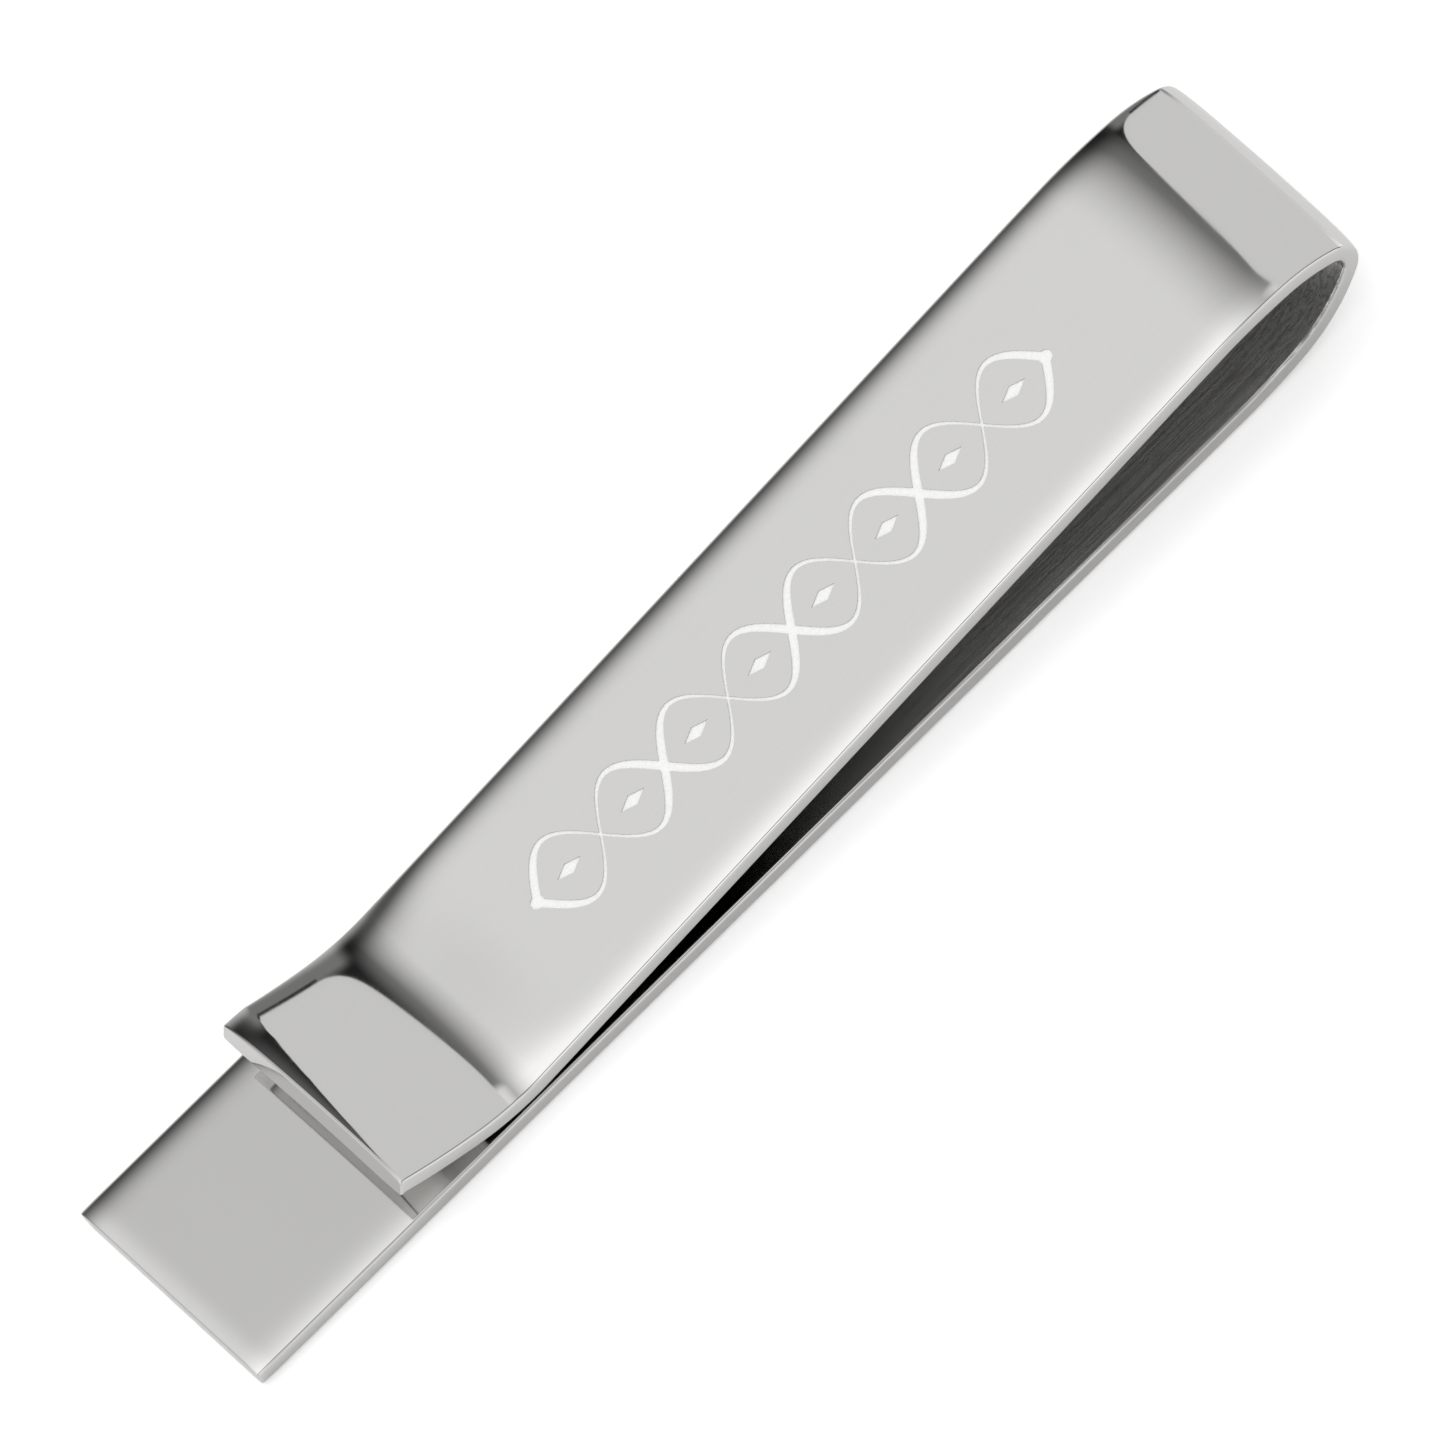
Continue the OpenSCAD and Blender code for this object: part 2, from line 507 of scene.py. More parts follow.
@dataclass
class Blank:
    """A length of the flat blank, as a closed grid of rows along it and columns round it.

    Attributes:
        name: The mesh's name.
        plan: Sizes of the strip.
        start: Where it starts along the strip, in mm.
        end: Where it ends.
        edges: How its faces roll over.
        free_start: True if its start is a free end of the strip.
        free_end: True if its end is a free end of the strip.
        plain: A stretch with no rows inside, for the engraved band to be cut into.
        cup: How far bending has raised the middle of the strip over its edges, as places along
            the strip and heights there, in order.
        still: Place across the strip that the cup leaves where it was: 0 for the middle and 1
            for the edges.
    """

    name: str
    plan: StripPlan
    start: float
    end: float
    edges: EdgeForm = field(default_factory=EdgeForm)
    free_start: bool = False
    free_end: bool = False
    plain: tuple[float, float] = (0.0, 0.0)
    cup: tuple[tuple[float, float], ...] = ()
    still: float = 1.0
    CORNER_STEPS: ClassVar[int] = 8
    FACE_STEPS: ClassVar[int] = 18
    END_STEPS: ClassVar[int] = 6
    REACH_STEPS: ClassVar[int] = 18
    FLAT_ROWS: ClassVar[int] = 2
    ROW_ANGLE: ClassVar[float] = 0.6
    ROW_GAP: ClassVar[float] = 0.2

    def rows(self) -> list[float]:
        """Places of the rows: close in the bends and at free ends, and wide apart on the flats."""
        marks = {self.start, self.end}
        flats = range(int(self.FLAT_ROWS * (self.end - self.start)))
        marks.update(self.start + i / self.FLAT_ROWS for i in flats)
        for bend, at in self.plan.bends():
            low, high = at - self.ROW_GAP, at + bend.length + self.ROW_GAP
            marks = {m for m in marks if not low < m < high or m in (self.start, self.end)}
        for bend, at in self.plan.bends():
            steps = round(abs(bend.angle) / self.ROW_ANGLE)
            marks.update(at + bend.length * i / steps for i in range(steps + 1))
        for free, tip, way in ((self.free_start, self.start, 1), (self.free_end, self.end, -1)):
            if free:
                marks.update(tip + way * distance for distance in self.end_rows())
        low, high = self.plain
        kept = [m for m in marks if self.start <= m <= self.end and not low < m < high]
        merged: list[float] = []
        for m in sorted(kept + [low, high] * (high > low)):
            if not merged or m - merged[-1] > 1e-4:
                merged.append(m)
        return merged

    def end_rows(self) -> list[float]:
        """Distances of the rows from a free end: round its edge, and then over its roll."""
        r, reach = self.edges.end_radius, max(self.edges.end_reach)
        turns = [math.pi / 2 * i / self.END_STEPS for i in range(self.END_STEPS + 1)]
        shares = [(i / self.REACH_STEPS) ** 1.6 for i in range(self.REACH_STEPS + 1)]
        return [r * (1 - math.cos(turn)) for turn in turns] + [r + (reach - r) * s for s in shares]

    def to_end(self, along: float, most: float) -> float:
        """Finds how far a row is from the nearest free end, up to a most."""
        ends = ((self.free_start, along - self.start), (self.free_end, self.end - along))
        return min([distance for free, distance in ends if free] + [most])

    def inset(self, along: float) -> float:
        """Finds how far a row's whole outline is drawn in, by the edges of a free end."""
        r = self.edges.end_radius
        return r - math.sqrt(max(0.0, r * r - (r - self.to_end(along, r)) ** 2))

    def lowered(self, along: float, share: float) -> float:
        """Finds how far the strip as a whole has moved towards its inner face.

        Args:
            along: Place of the row.
            share: Place across the strip, from -1 to 1.

        Returns:
            The roll of a free end, less the cup of the strip.
        """
        e = self.edges
        reach = e.end_reach[0] + (e.end_reach[1] - e.end_reach[0]) * (share + 1) / 2
        slope = math.tan(math.radians(e.end_slope))
        roll = slope * reach / e.end_power * (1 - self.to_end(along, reach) / reach) ** e.end_power
        height = 0.0
        for (a, low), (b, high) in zip(self.cup, self.cup[1:]):
            if along >= a:
                come = min((along - a) / (b - a), 1.0)
                height = low + (high - low) * come * come * (3 - 2 * come)
        return roll - height * (self.still - share * share)

    def side(self, along: float, way: int) -> list[tuple[float, float]]:
        """Works out half of a row's outline.

        Args:
            along: Place of the row.
            way: 1 for the half towards +Y, and -1 for the other.

        Returns:
            Points of width and height, from the lower face's middle round to the upper one's.
        """
        e = self.edges
        inset = self.inset(along)
        half_w = self.plan.width / 2
        r = max(e.radius - inset, 0.01)
        a = half_w - inset - r
        fall = e.end_fall * (1 - self.to_end(along, e.end_reach[1]) / e.end_reach[1]) ** 3
        b = self.plan.thickness / 2 - inset - fall
        tilt = e.crown * e.crown_power / half_w * (a / half_w) ** (e.crown_power - 1)

        def height(y: float) -> float:
            """Height of the face above the mid-plane."""
            return b - e.crown * (y / half_w) ** e.crown_power

        reach = a + r * math.sin(tilt)
        turns = [math.pi / 2 * (i + 0.5) / (self.FACE_STEPS - 0.5) for i in range(self.FACE_STEPS)]
        quarter = [(reach * math.sin(turn), height(reach * math.sin(turn))) for turn in turns]
        foot = height(reach) - r * math.cos(tilt)
        for i in range(1, self.CORNER_STEPS + 1):
            turn = (math.pi / 2 - tilt) * (1 - i / self.CORNER_STEPS)
            quarter.append((a + r * math.cos(turn), foot + r * math.sin(turn)))
        lower = [(y, -z) for y, z in quarter]
        upper = [(y, z) for y, z in reversed(quarter)]
        return [(way * y, z + self.lowered(along, way * y / half_w)) for y, z in lower + upper]

    def outline(self, along: float) -> list[tuple[float, float]]:
        """Works out one row's outline, as points of width and height, anticlockwise."""
        return self.side(along, 1) + list(reversed(self.side(along, -1)))

    def build(self) -> bpy.types.Object:
        """Makes the blank's mesh, closed at both ends with strips of quads.

        Returns:
            An object with the mesh, in millimetres.
        """
        rows = self.rows()
        bm = bmesh.new()
        rings = [[bm.verts.new((x, y, z)) for y, z in self.outline(x)] for x in rows]
        count = len(rings[0])
        for a, b in zip(rings, rings[1:]):
            for i in range(count):
                j = (i + 1) % count
                bm.faces.new((a[i], b[i], b[j], a[j]))
        for ring, flip in ((rings[0], True), (rings[-1], False)):
            self.close(bm, ring, flip)
        bmesh.ops.recalc_face_normals(bm, faces=bm.faces)
        return to_object(self.name, bm)

    @staticmethod
    def close(bm: bmesh.types.BMesh, ring: list[bmesh.types.BMVert], flip: bool) -> None:
        """Closes an end with quads between the lower and the upper half of its outline."""
        quarter = len(ring) // 4
        lower = ring[3 * quarter:] + ring[:quarter]
        upper = list(reversed(ring[quarter:3 * quarter]))
        for i in range(len(lower) - 1):
            quad = (lower[i], lower[i + 1], upper[i + 1], upper[i])
            bm.faces.new(tuple(reversed(quad)) if flip else quad)


# --------------------------------------------------------------------------- Geometry Nodes


class StripTree:
    """A Geometry Nodes tree for a modifier, whose inputs are set by identifier."""

    def __init__(self, name: str) -> None:
        """Starts a tree that takes and gives one geometry.

        Args:
            name: The tree's name.
        """
        self.tree = bpy.data.node_groups.new(name, "GeometryNodeTree")
        self.tree.is_modifier = True
        new_socket(self.tree, "Geometry", "Geometry")
        new_socket(self.tree, "Geometry", "Geometry", out=True)
        self.identifiers: dict[str, str] = {}
        self.values: dict[str, Any] = {}
        self.builder = TreeBuilder(self.tree)

    def take(self, name: str, value: Any, kind: str = "Float") -> None:
        """Adds a named input.

        Args:
            name: The input's name.
            value: What a modifier sets it to, unless it is given another value.
            kind: The last word of the socket's type.
        """
        self.identifiers[name] = new_socket(self.tree, name, kind).identifier
        self.values[name] = value

    def given(self) -> Any:
        """Adds the Group Input node and returns its sockets."""
        return self.builder.add("NodeGroupInput").outputs

    def group(self, tree: bpy.types.NodeTree, inputs: dict) -> Any:
        """Adds a group node and returns its first output."""
        node = self.builder.add("GeometryNodeGroup", node_tree=tree)
        for name, value in inputs.items():
            self.builder.feed(node.inputs[name], value)
        return node.outputs[0]

    def give(self, geometry: Any) -> None:
        """Links the tree's result to its output, with any instances made real."""
        real = self.builder.out("GeometryNodeRealizeInstances", {"Geometry": geometry})
        self.builder.add("NodeGroupOutput", {"Geometry": real})

    def put_on(self, target: bpy.types.Object, **changed: Any) -> None:
        """Adds the tree to an object as a modifier.

        Args:
            target: The object.
            **changed: Values that differ from the tree's own, by input name, with _ for a space.
        """
        modifier = target.modifiers.new(self.tree.name, "NODES")
        modifier.node_group = self.tree
        for name, identifier in self.identifiers.items():
            modifier[identifier] = changed.get(name.replace(" ", "_"), self.values[name])


def bend_group() -> bpy.types.NodeTree:
    """Builds the group that makes one bend.

    Points before the bend stay, points in it go round its arc, and points past it turn with its
    end. The place of each point along the flat blank is in the attribute "along".

    Returns:
        The group, with inputs Start, Length and Angle.
    """
    inputs = {"Geometry": "Geometry", "Start": 0.0, "Length": 1.0, "Angle": 1.0}
    tree, b, given = new_group("bend_strip", "Geometry", inputs)
    new_socket(tree, "Geometry", "Geometry", out=True)
    along = b.out("GeometryNodeInputNamedAttribute", {"Name": "along"}, data_type="FLOAT")
    ahead = b.math("SUBTRACT", along, given["Start"])
    share = b.out("ShaderNodeClamp", {"Value": ahead, "Min": 0.0, "Max": given["Length"]})
    turned = b.math("MULTIPLY", b.math("DIVIDE", share, given["Length"]), given["Angle"])
    radius = b.math("DIVIDE", given["Length"], given["Angle"])
    foot = b.vector(b.math("ADD", given["Start"], share))
    arm = b.vector_math("SUBTRACT", b.out("GeometryNodeInputPosition"), foot)
    swing = {"Vector": arm, "Angle": b.math("MULTIPLY", turned, -1.0)}
    swung = b.out("ShaderNodeVectorRotate", swing, rotation_type="Y_AXIS")
    out = b.math("MULTIPLY", radius, b.math("SINE", turned))
    up = b.math("MULTIPLY", radius, b.math("SUBTRACT", 1.0, b.math("COSINE", turned)))
    arc = b.vector(b.math("ADD", given["Start"], out), 0.0, up)
    place = {"Geometry": given["Geometry"], "Position": b.vector_math("ADD", arc, swung)}
    b.add("NodeGroupOutput", {"Geometry": b.out("GeometryNodeSetPosition", place)})
    return tree


def fold_tree(plan: StripPlan, outside: bpy.types.Material, inside: bpy.types.Material) -> StripTree:
    """Builds the tree that folds a flat blank and brings it to its place in metres.

    The bends are made from the lip back to the rear leaf, because each acts on strip that is
    still straight and carries what is already folded past it.

    Args:
        plan: Sizes of the strip, and its bends.
        outside: Material of the faces that end outside the fold.
        inside: Material of the faces that end inside it.

    Returns:
        The tree, with three inputs for each bend.
    """
    fold = StripTree("fold_strip")
    for bend, start in plan.bends():
        fold.take(f"{bend.name} start", start)
        fold.take(f"{bend.name} length", bend.length)
        fold.take(f"{bend.name} angle", math.radians(bend.angle))
    fold.take("Place", (-plan.length / 2, 0.0, plan.thickness / 2), "Vector")
    fold.take("Outside", outside, "Material")
    fold.take("Inside", inside, "Material")
    b, given = fold.builder, fold.given()
    flat = b.split(b.out("GeometryNodeInputPosition"))["X"]
    marked = b.out(
        "GeometryNodeStoreNamedAttribute",
        {"Geometry": given["Geometry"], "Name": "along", "Value": flat},
        data_type="FLOAT", domain="POINT",
    )
    facing = b.split(b.out("GeometryNodeInputNormal"))["Z"]
    inner = b.out("FunctionNodeCompare", {0: facing, 1: 0.5}, operation="GREATER_THAN")
    marked = b.out(
        "GeometryNodeStoreNamedAttribute",
        {"Geometry": marked, "Name": "inside", "Value": inner},
        data_type="BOOLEAN", domain="FACE",
    )
    group = bend_group()
    for bend, _ in reversed(plan.bends()):
        sizes = {word: given[f"{bend.name} {word.lower()}"] for word in ("Start", "Length", "Angle")}
        marked = fold.group(group, {"Geometry": marked, **sizes})
    placed = b.out("GeometryNodeTransform", {"Geometry": marked, "Translation": given["Place"]})
    metres = b.out("GeometryNodeTransform", {"Geometry": placed, "Scale": (MM, MM, MM)})
    smooth = b.out("GeometryNodeSetShadeSmooth", {"Geometry": metres})
    plain = b.out("GeometryNodeSetMaterial", {"Geometry": smooth, "Material": given["Outside"]})
    inner = b.out("GeometryNodeInputNamedAttribute", {"Name": "inside"}, data_type="BOOLEAN")
    real = b.out("GeometryNodeRealizeInstances", {"Geometry": plain})
    dressed = b.out(
        "GeometryNodeSetMaterial", {"Geometry": real, "Selection": inner, "Material": given["Inside"]}
    )
    b.add("NodeGroupOutput", {"Geometry": dressed})
    return fold


@dataclass(frozen=True)
class BandForm:
    """Sizes of the engraved band, in mm.

    Attributes:
        length: Length of the band.
        height: Height between the crests of its waves.
        waves: Waves along it.
        wide: Widest part of the cut line.
        thin: Narrowest part of the cut line.
        rhomb: Length and height of the rhomb in each eye.
        dot: Radius of the dot at each end.
        depth: Depth of the cut.
        frost: Thickness of the frosted floor.
    """

    length: float = 24.0
    height: float = 3.0
    waves: int = 4
    wide: float = 0.32
    thin: float = 0.1
    rhomb: tuple[float, float] = (1.1, 0.5)
    dot: float = 0.256
    depth: float = 0.08
    frost: float = 0.04
    STEPS: ClassVar[int] = 32


def band_group(form: BandForm) -> bpy.types.NodeTree:
    """Builds the group that draws the engraved band as solids with flat tops.

    Args:
        form: Sizes of the band.

    Returns:
        The group, with inputs Middle, Bottom and Thickness.
    """
    inputs = {
        "Length": form.length, "Height": form.height, "Waves": form.waves, "Wide": form.wide,
        "Thin": form.thin, "Middle": 0.0, "Bottom": 0.0, "Thickness": 1.0,
    }
    tree, b, given = new_group("engraved_band", "Geometry", inputs)
    new_socket(tree, "Geometry", "Geometry", out=True)
    steps = form.STEPS * form.waves
    grid = b.out(
        "GeometryNodeMeshGrid",
        {"Size X": given["Length"], "Size Y": 2.0, "Vertices X": steps + 1, "Vertices Y": 2},
    )
    split = b.split(b.out("GeometryNodeInputPosition"))
    share = b.math("ADD", b.math("DIVIDE", split["X"], given["Length"]), 0.5)
    pitch = b.math("MULTIPLY", given["Waves"], 2 * math.pi)
    phase = b.math("MULTIPLY", share, pitch)
    crest = b.math("MULTIPLY", given["Height"], 0.5)
    steep = b.math("DIVIDE", b.math("MULTIPLY", crest, pitch), given["Length"])
    slope = b.math("MULTIPLY", steep, b.math("COSINE", phase))
    swell = b.math("MULTIPLY_ADD", b.math("COSINE", phase), 0.25, 0.25)
    spread = b.math("SUBTRACT", given["Wide"], given["Thin"])
    half = b.math("MULTIPLY_ADD", spread, swell, b.math("MULTIPLY", given["Thin"], 0.5))
    stretch = b.math("SQRT", b.math("MULTIPLY_ADD", slope, slope, 1.0))
    reach = b.math("DIVIDE", b.math("MULTIPLY", half, split["Y"]), stretch)
    x = b.math("SUBTRACT", split["X"], b.math("MULTIPLY", reach, slope))
    y = b.math("MULTIPLY_ADD", crest, b.math("SINE", phase), reach)
    wave = b.out("GeometryNodeSetPosition", {"Geometry": grid, "Position": b.vector(x, y)})
    turned = b.out("GeometryNodeTransform", {"Geometry": wave, "Scale": (1.0, -1.0, 1.0)})
    mirrored = b.out("GeometryNodeFlipFaces", {"Mesh": turned})

    eye = b.math("DIVIDE", given["Length"], b.math("MULTIPLY", given["Waves"], 2.0))
    first = b.vector(b.math("MULTIPLY", b.math("SUBTRACT", eye, given["Length"]), 0.5))
    start = b.vector(b.math("MULTIPLY", given["Length"], -0.5))
    eyes, tips = (
        b.out("GeometryNodeMeshLine", {"Count": count, "Start Location": place, "Offset": b.vector(gap)})
        for count, place, gap in ((2 * form.waves, first, eye), (2, start, given["Length"]))
    )
    square = b.out("GeometryNodeMeshCircle", {"Vertices": 4, "Radius": 0.5}, fill_type="NGON")
    rhomb = b.out("GeometryNodeTransform", {"Geometry": square, "Scale": (*form.rhomb, 1.0)})
    dot = b.out("GeometryNodeMeshCircle", {"Vertices": 32, "Radius": form.dot}, fill_type="NGON")
    marks = [
        b.out("GeometryNodeInstanceOnPoints", {"Points": points, "Instance": mark})
        for points, mark in ((eyes, rhomb), (tips, dot))
    ]
    joined = b.out("GeometryNodeJoinGeometry", {0: [wave, mirrored, *marks]})
    flat = b.out("GeometryNodeRealizeInstances", {"Geometry": joined})
    lift = b.vector(given["Middle"], 0.0, given["Bottom"])
    set_down = b.out("GeometryNodeTransform", {"Geometry": flat, "Translation": lift})
    upwards = {"Offset": b.vector(0.0, 0.0, 1.0), "Offset Scale": given["Thickness"], "Individual": False}
    raised = b.out("GeometryNodeExtrudeMesh", {"Mesh": set_down, **upwards})
    floor = b.out("GeometryNodeFlipFaces", {"Mesh": set_down})
    closed = b.out("GeometryNodeJoinGeometry", {0: [raised, floor]})
    welded = b.out("GeometryNodeMergeByDistance", {"Geometry": closed, "Distance": 1e-4})
    b.add("NodeGroupOutput", {"Geometry": welded})
    return tree


def band_tree(
    name: str, group: bpy.types.NodeTree, middle: float, bottom: float, thickness: float, use: BandUse
) -> StripTree:
    """Builds a tree that joins the band's solids, or cuts them out of a blank.

    Args:
        name: The tree's name.
        group: The engraved_band group.
        middle: Place of the band's middle along the blank.
        bottom: Height of the solids' lower faces.
        thickness: Thickness of the solids.
        use: Whether they are the frosted floor, one solid for each island, or the cut.

    Returns:
        The tree.
    """
    band = StripTree(name)
    sizes = {"Middle": middle, "Bottom": bottom, "Thickness": thickness}
    for word, value in sizes.items():
        band.take(word, value)
    given = band.given()
    solids = band.group(group, {word: given[word] for word in sizes})
    boolean = band.builder.add("GeometryNodeMeshBoolean", operation=use.value, solver="EXACT")
    if use is BandUse.CUT:
        band.builder.feed(boolean.inputs["Mesh 1"], given["Geometry"])
    band.builder.feed(boolean.inputs["Mesh 2"], solids)
    boolean.inputs["Self Intersection"].default_value = True
    band.give(boolean.outputs[0])
    return band


# --------------------------------------------------------------------------- the clip


@dataclass
class TieBar:
    """The folded strip, in a piece for each rigid body and one that flexes between them.

    Attributes:
        plan: Sizes of the strip.
        finishes: The clip's materials.
        band: Sizes of the engraved band.
        overlap: How far the flexing bow reaches onto the flat of each leaf, in mm.
        margin: Clear length of plain face at each end of the engraved band, in mm.
        lip_edges: How the lip's edges roll over, more at one corner of its free end.
        bow_cup: How far bending has drawn in the edges of the bow's front shoulder, in mm.
        lip_cup: How far it has raised the strip's middle at the lip bend and at the lip's end.
    """

    plan: StripPlan
    finishes: Finishes
    band: BandForm = field(default_factory=BandForm)
    overlap: float = 1.0
    margin: float = 0.8
    lip_edges: EdgeForm = EdgeForm(end_slope=19.5, end_reach=(0.22, 0.92), end_power=1.2, end_fall=0.0)
    bow_cup: float = 0.04
    lip_cup: tuple[float, float] = (0.15, 0.12)

    def __post_init__(self) -> None:
        """Builds the trees that the pieces share."""
        self.middle = self.plan.bow_end + self.plan.front_leaf / 2
        face = -self.plan.thickness / 2
        cut, frost = self.band.depth, self.band.frost
        floor = face + cut - frost
        group = band_group(self.band)
        self.fold = fold_tree(self.plan, self.finishes.polished, self.finishes.drawn)
        self.engrave = band_tree("engrave_band", group, self.middle, face - cut, 2 * cut, BandUse.CUT)
        self.frost = band_tree("frosted_floor", group, self.middle, floor, frost, BandUse.FLOOR)

    @staticmethod
    def finish(source: bpy.types.Object, name: str) -> bpy.types.Object:
        """Turns an object and its modifiers into a plain mesh piece.

        Args:
            source: The object, which is removed.
            name: The piece's name.

        Returns:
            The piece, at the origin.
        """
        graph = bpy.context.evaluated_depsgraph_get()
        mesh = bpy.data.meshes.new_from_object(source.evaluated_get(graph), depsgraph=graph)
        mesh.name = name
        bpy.data.objects.remove(source)
        mesh.set_sharp_from_angle(angle=math.radians(32))
        piece = bpy.data.objects.new(name, mesh)
        bpy.context.scene.collection.objects.link(piece)
        LOG.info("%s: %d faces", name, len(mesh.polygons))
        return piece

    def rear_leaf(self) -> bpy.types.Object:
        """Makes the longer leaf, with a free end at its tip."""
        end = self.plan.rear_leaf - self.overlap
        blank = Blank("rear_leaf_blank", self.plan, 0.0, end, free_start=True).build()
        self.fold.put_on(blank)
        piece = self.finish(blank, "rear_leaf_strip")
        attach(piece, Body.REAR.value)
        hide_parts("rear_leaf")
        return piece

    def bow(self) -> bpy.types.Object:
        """Makes the bow, which flexes between the two leaves."""
        first, last = self.plan.rear_leaf - self.overlap, self.plan.bow_end + self.overlap
        shoulder = (self.plan.bow_end - 5.0, self.plan.bow_end - 2.5)
        cup = ((first, 0.0), *((place, self.bow_cup) for place in shoulder), (last, 0.0))
        blank = Blank("bow_blank", self.plan, first, last, cup=cup, still=0.0).build()
        self.fold.put_on(blank)
        piece = self.finish(blank, "bow_strip")
        hinge = frame["joints"][0]["pos_m"]
        low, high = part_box("rear_leaf")[1].z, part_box("front_leaf")[1].z
        gap = self.plan.thickness * MM
        start, end = Vector((hinge[0], 0.0, low)), Vector((hinge[0], 0.0, high - 1.5 * gap))
        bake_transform(piece, Body.REAR.value, Body.FRONT.value, start=start, end=end)
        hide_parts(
            "rear_sweep", "rear_shoulder", "rear_nose", "front_nose", "front_shoulder", "front_sweep"
        )
        return piece

    def front_leaf(self) -> bpy.types.Object:
        """Makes the shorter leaf and its lip in one, with the band cut into it."""
        start = self.plan.bow_end + self.overlap
        reach = self.band.length / 2 + self.margin
        lip = self.plan.bends()[-2][1]
        bent, tip = self.lip_cup
        blank = Blank(
            "front_leaf_blank", self.plan, start, self.plan.total, self.lip_edges, free_end=True,
            plain=(self.middle - reach, self.middle + reach),
            cup=((lip - 3.0, 0.0), (lip + 1.5, bent), (self.plan.total, tip)),
        ).build()
        self.engrave.put_on(blank)
        self.fold.put_on(blank)
        piece = self.finish(blank, "front_leaf_strip")
        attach(piece, Body.FRONT.value)
        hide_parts("front_leaf", "lip_bend", "lip")
        return piece

    def engraving(self) -> bpy.types.Object:
        """Makes the frosted floor of the cut."""
        seed = bpy.data.objects.new("frosted_floor", bpy.data.meshes.new("frosted_floor"))
        bpy.context.scene.collection.objects.link(seed)
        self.frost.put_on(seed)
        frosted = self.finishes.frosted
        self.fold.put_on(seed, Outside=frosted, Inside=frosted)
        piece = self.finish(seed, "engraved_band")
        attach(piece, Body.FRONT.value)
        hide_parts("engraving")
        return piece

    def build(self) -> list[bpy.types.Object]:
        """Makes every piece of the clip."""
        return [self.rear_leaf(), self.bow(), self.front_leaf(), self.engraving()]


# --------------------------------------------------------------------------- the studio


@dataclass(frozen=True)
class Reflector:
    """A lit card that the bow and the lip mirror, close enough for them to see it differently.

    Directions are told by lean, the angle from straight up towards +X, and by tip, the angle
    from the XZ plane towards +Y, both in degrees.

    Attributes:
        distance: Distance from the clip, in metres.
        level: Radiance of the card.
        lean: Where the card starts and ends.
        tip: Where it starts, where its corner starts to round off, and where it ends.
        corner: How far the rounded corner draws its start back.
        frame: Width of the black frame at its end, in degrees.
        frame_level: Radiance of that frame.
    """

    distance: float = 1.0
    level: float = 0.84
    lean: tuple[float, float] = (15.2, 76.0)
    tip: tuple[float, float, float] = (-20.0, 26.0, 42.0)
    corner: float = 24.0
    frame: float = 1.3
    frame_level: float = 0.02
    STEPS: ClassVar[int] = 48
    COLUMNS: ClassVar[int] = 12

    def edge(self, tip: float) -> float:
        """Finds the lean at which the card starts, for one tip."""
        share = min(max(0.0, (tip - self.tip[1]) / (self.tip[2] - self.tip[1])), 1.0)
        return self.lean[0] + self.corner * (1 - math.sqrt(1 - share * share))

    def build(self) -> bpy.types.Object:
        """Makes the card, which only the steel's mirror images show."""
        low, _, high = self.tip
        turns = [math.pi / 2 * i / self.STEPS for i in range(self.STEPS + 1)]
        bm = bmesh.new()
        rows = []
        for tip in [low + (high - low) * math.sin(turn) for turn in turns] + [high + self.frame]:
            edge = self.edge(tip)
            steps = [(self.lean[1] - edge) * j / self.COLUMNS for j in range(self.COLUMNS + 1)]
            rows.append([bm.verts.new(self.place(edge + step, tip)) for step in steps])
        for near, far in zip(rows, rows[1:]):
            for j in range(self.COLUMNS):
                face = bm.faces.new((near[j], near[j + 1], far[j + 1], far[j]))
                face.material_index = int(far is rows[-1])
        card = to_object("reflector", bm)
        for name, level in (("reflector_glow", self.level), ("reflector_frame", self.frame_level)):
            material, b = new_material(name)
            glow = b.out("ShaderNodeEmission", {"Strength": level})
            b.add("ShaderNodeOutputMaterial", {"Surface": glow})
            card.data.materials.append(material)
        card.visible_camera = False
        card.visible_diffuse = False
        card.visible_shadow = False
        return card

    def place(self, lean: float, tip: float) -> Vector:
        """Finds the point of the card in one direction."""
        lean, tip = math.radians(lean), math.radians(tip)
        level = math.cos(tip)
        return Vector((math.sin(lean) * level, math.sin(tip), math.cos(lean) * level)) * self.distance


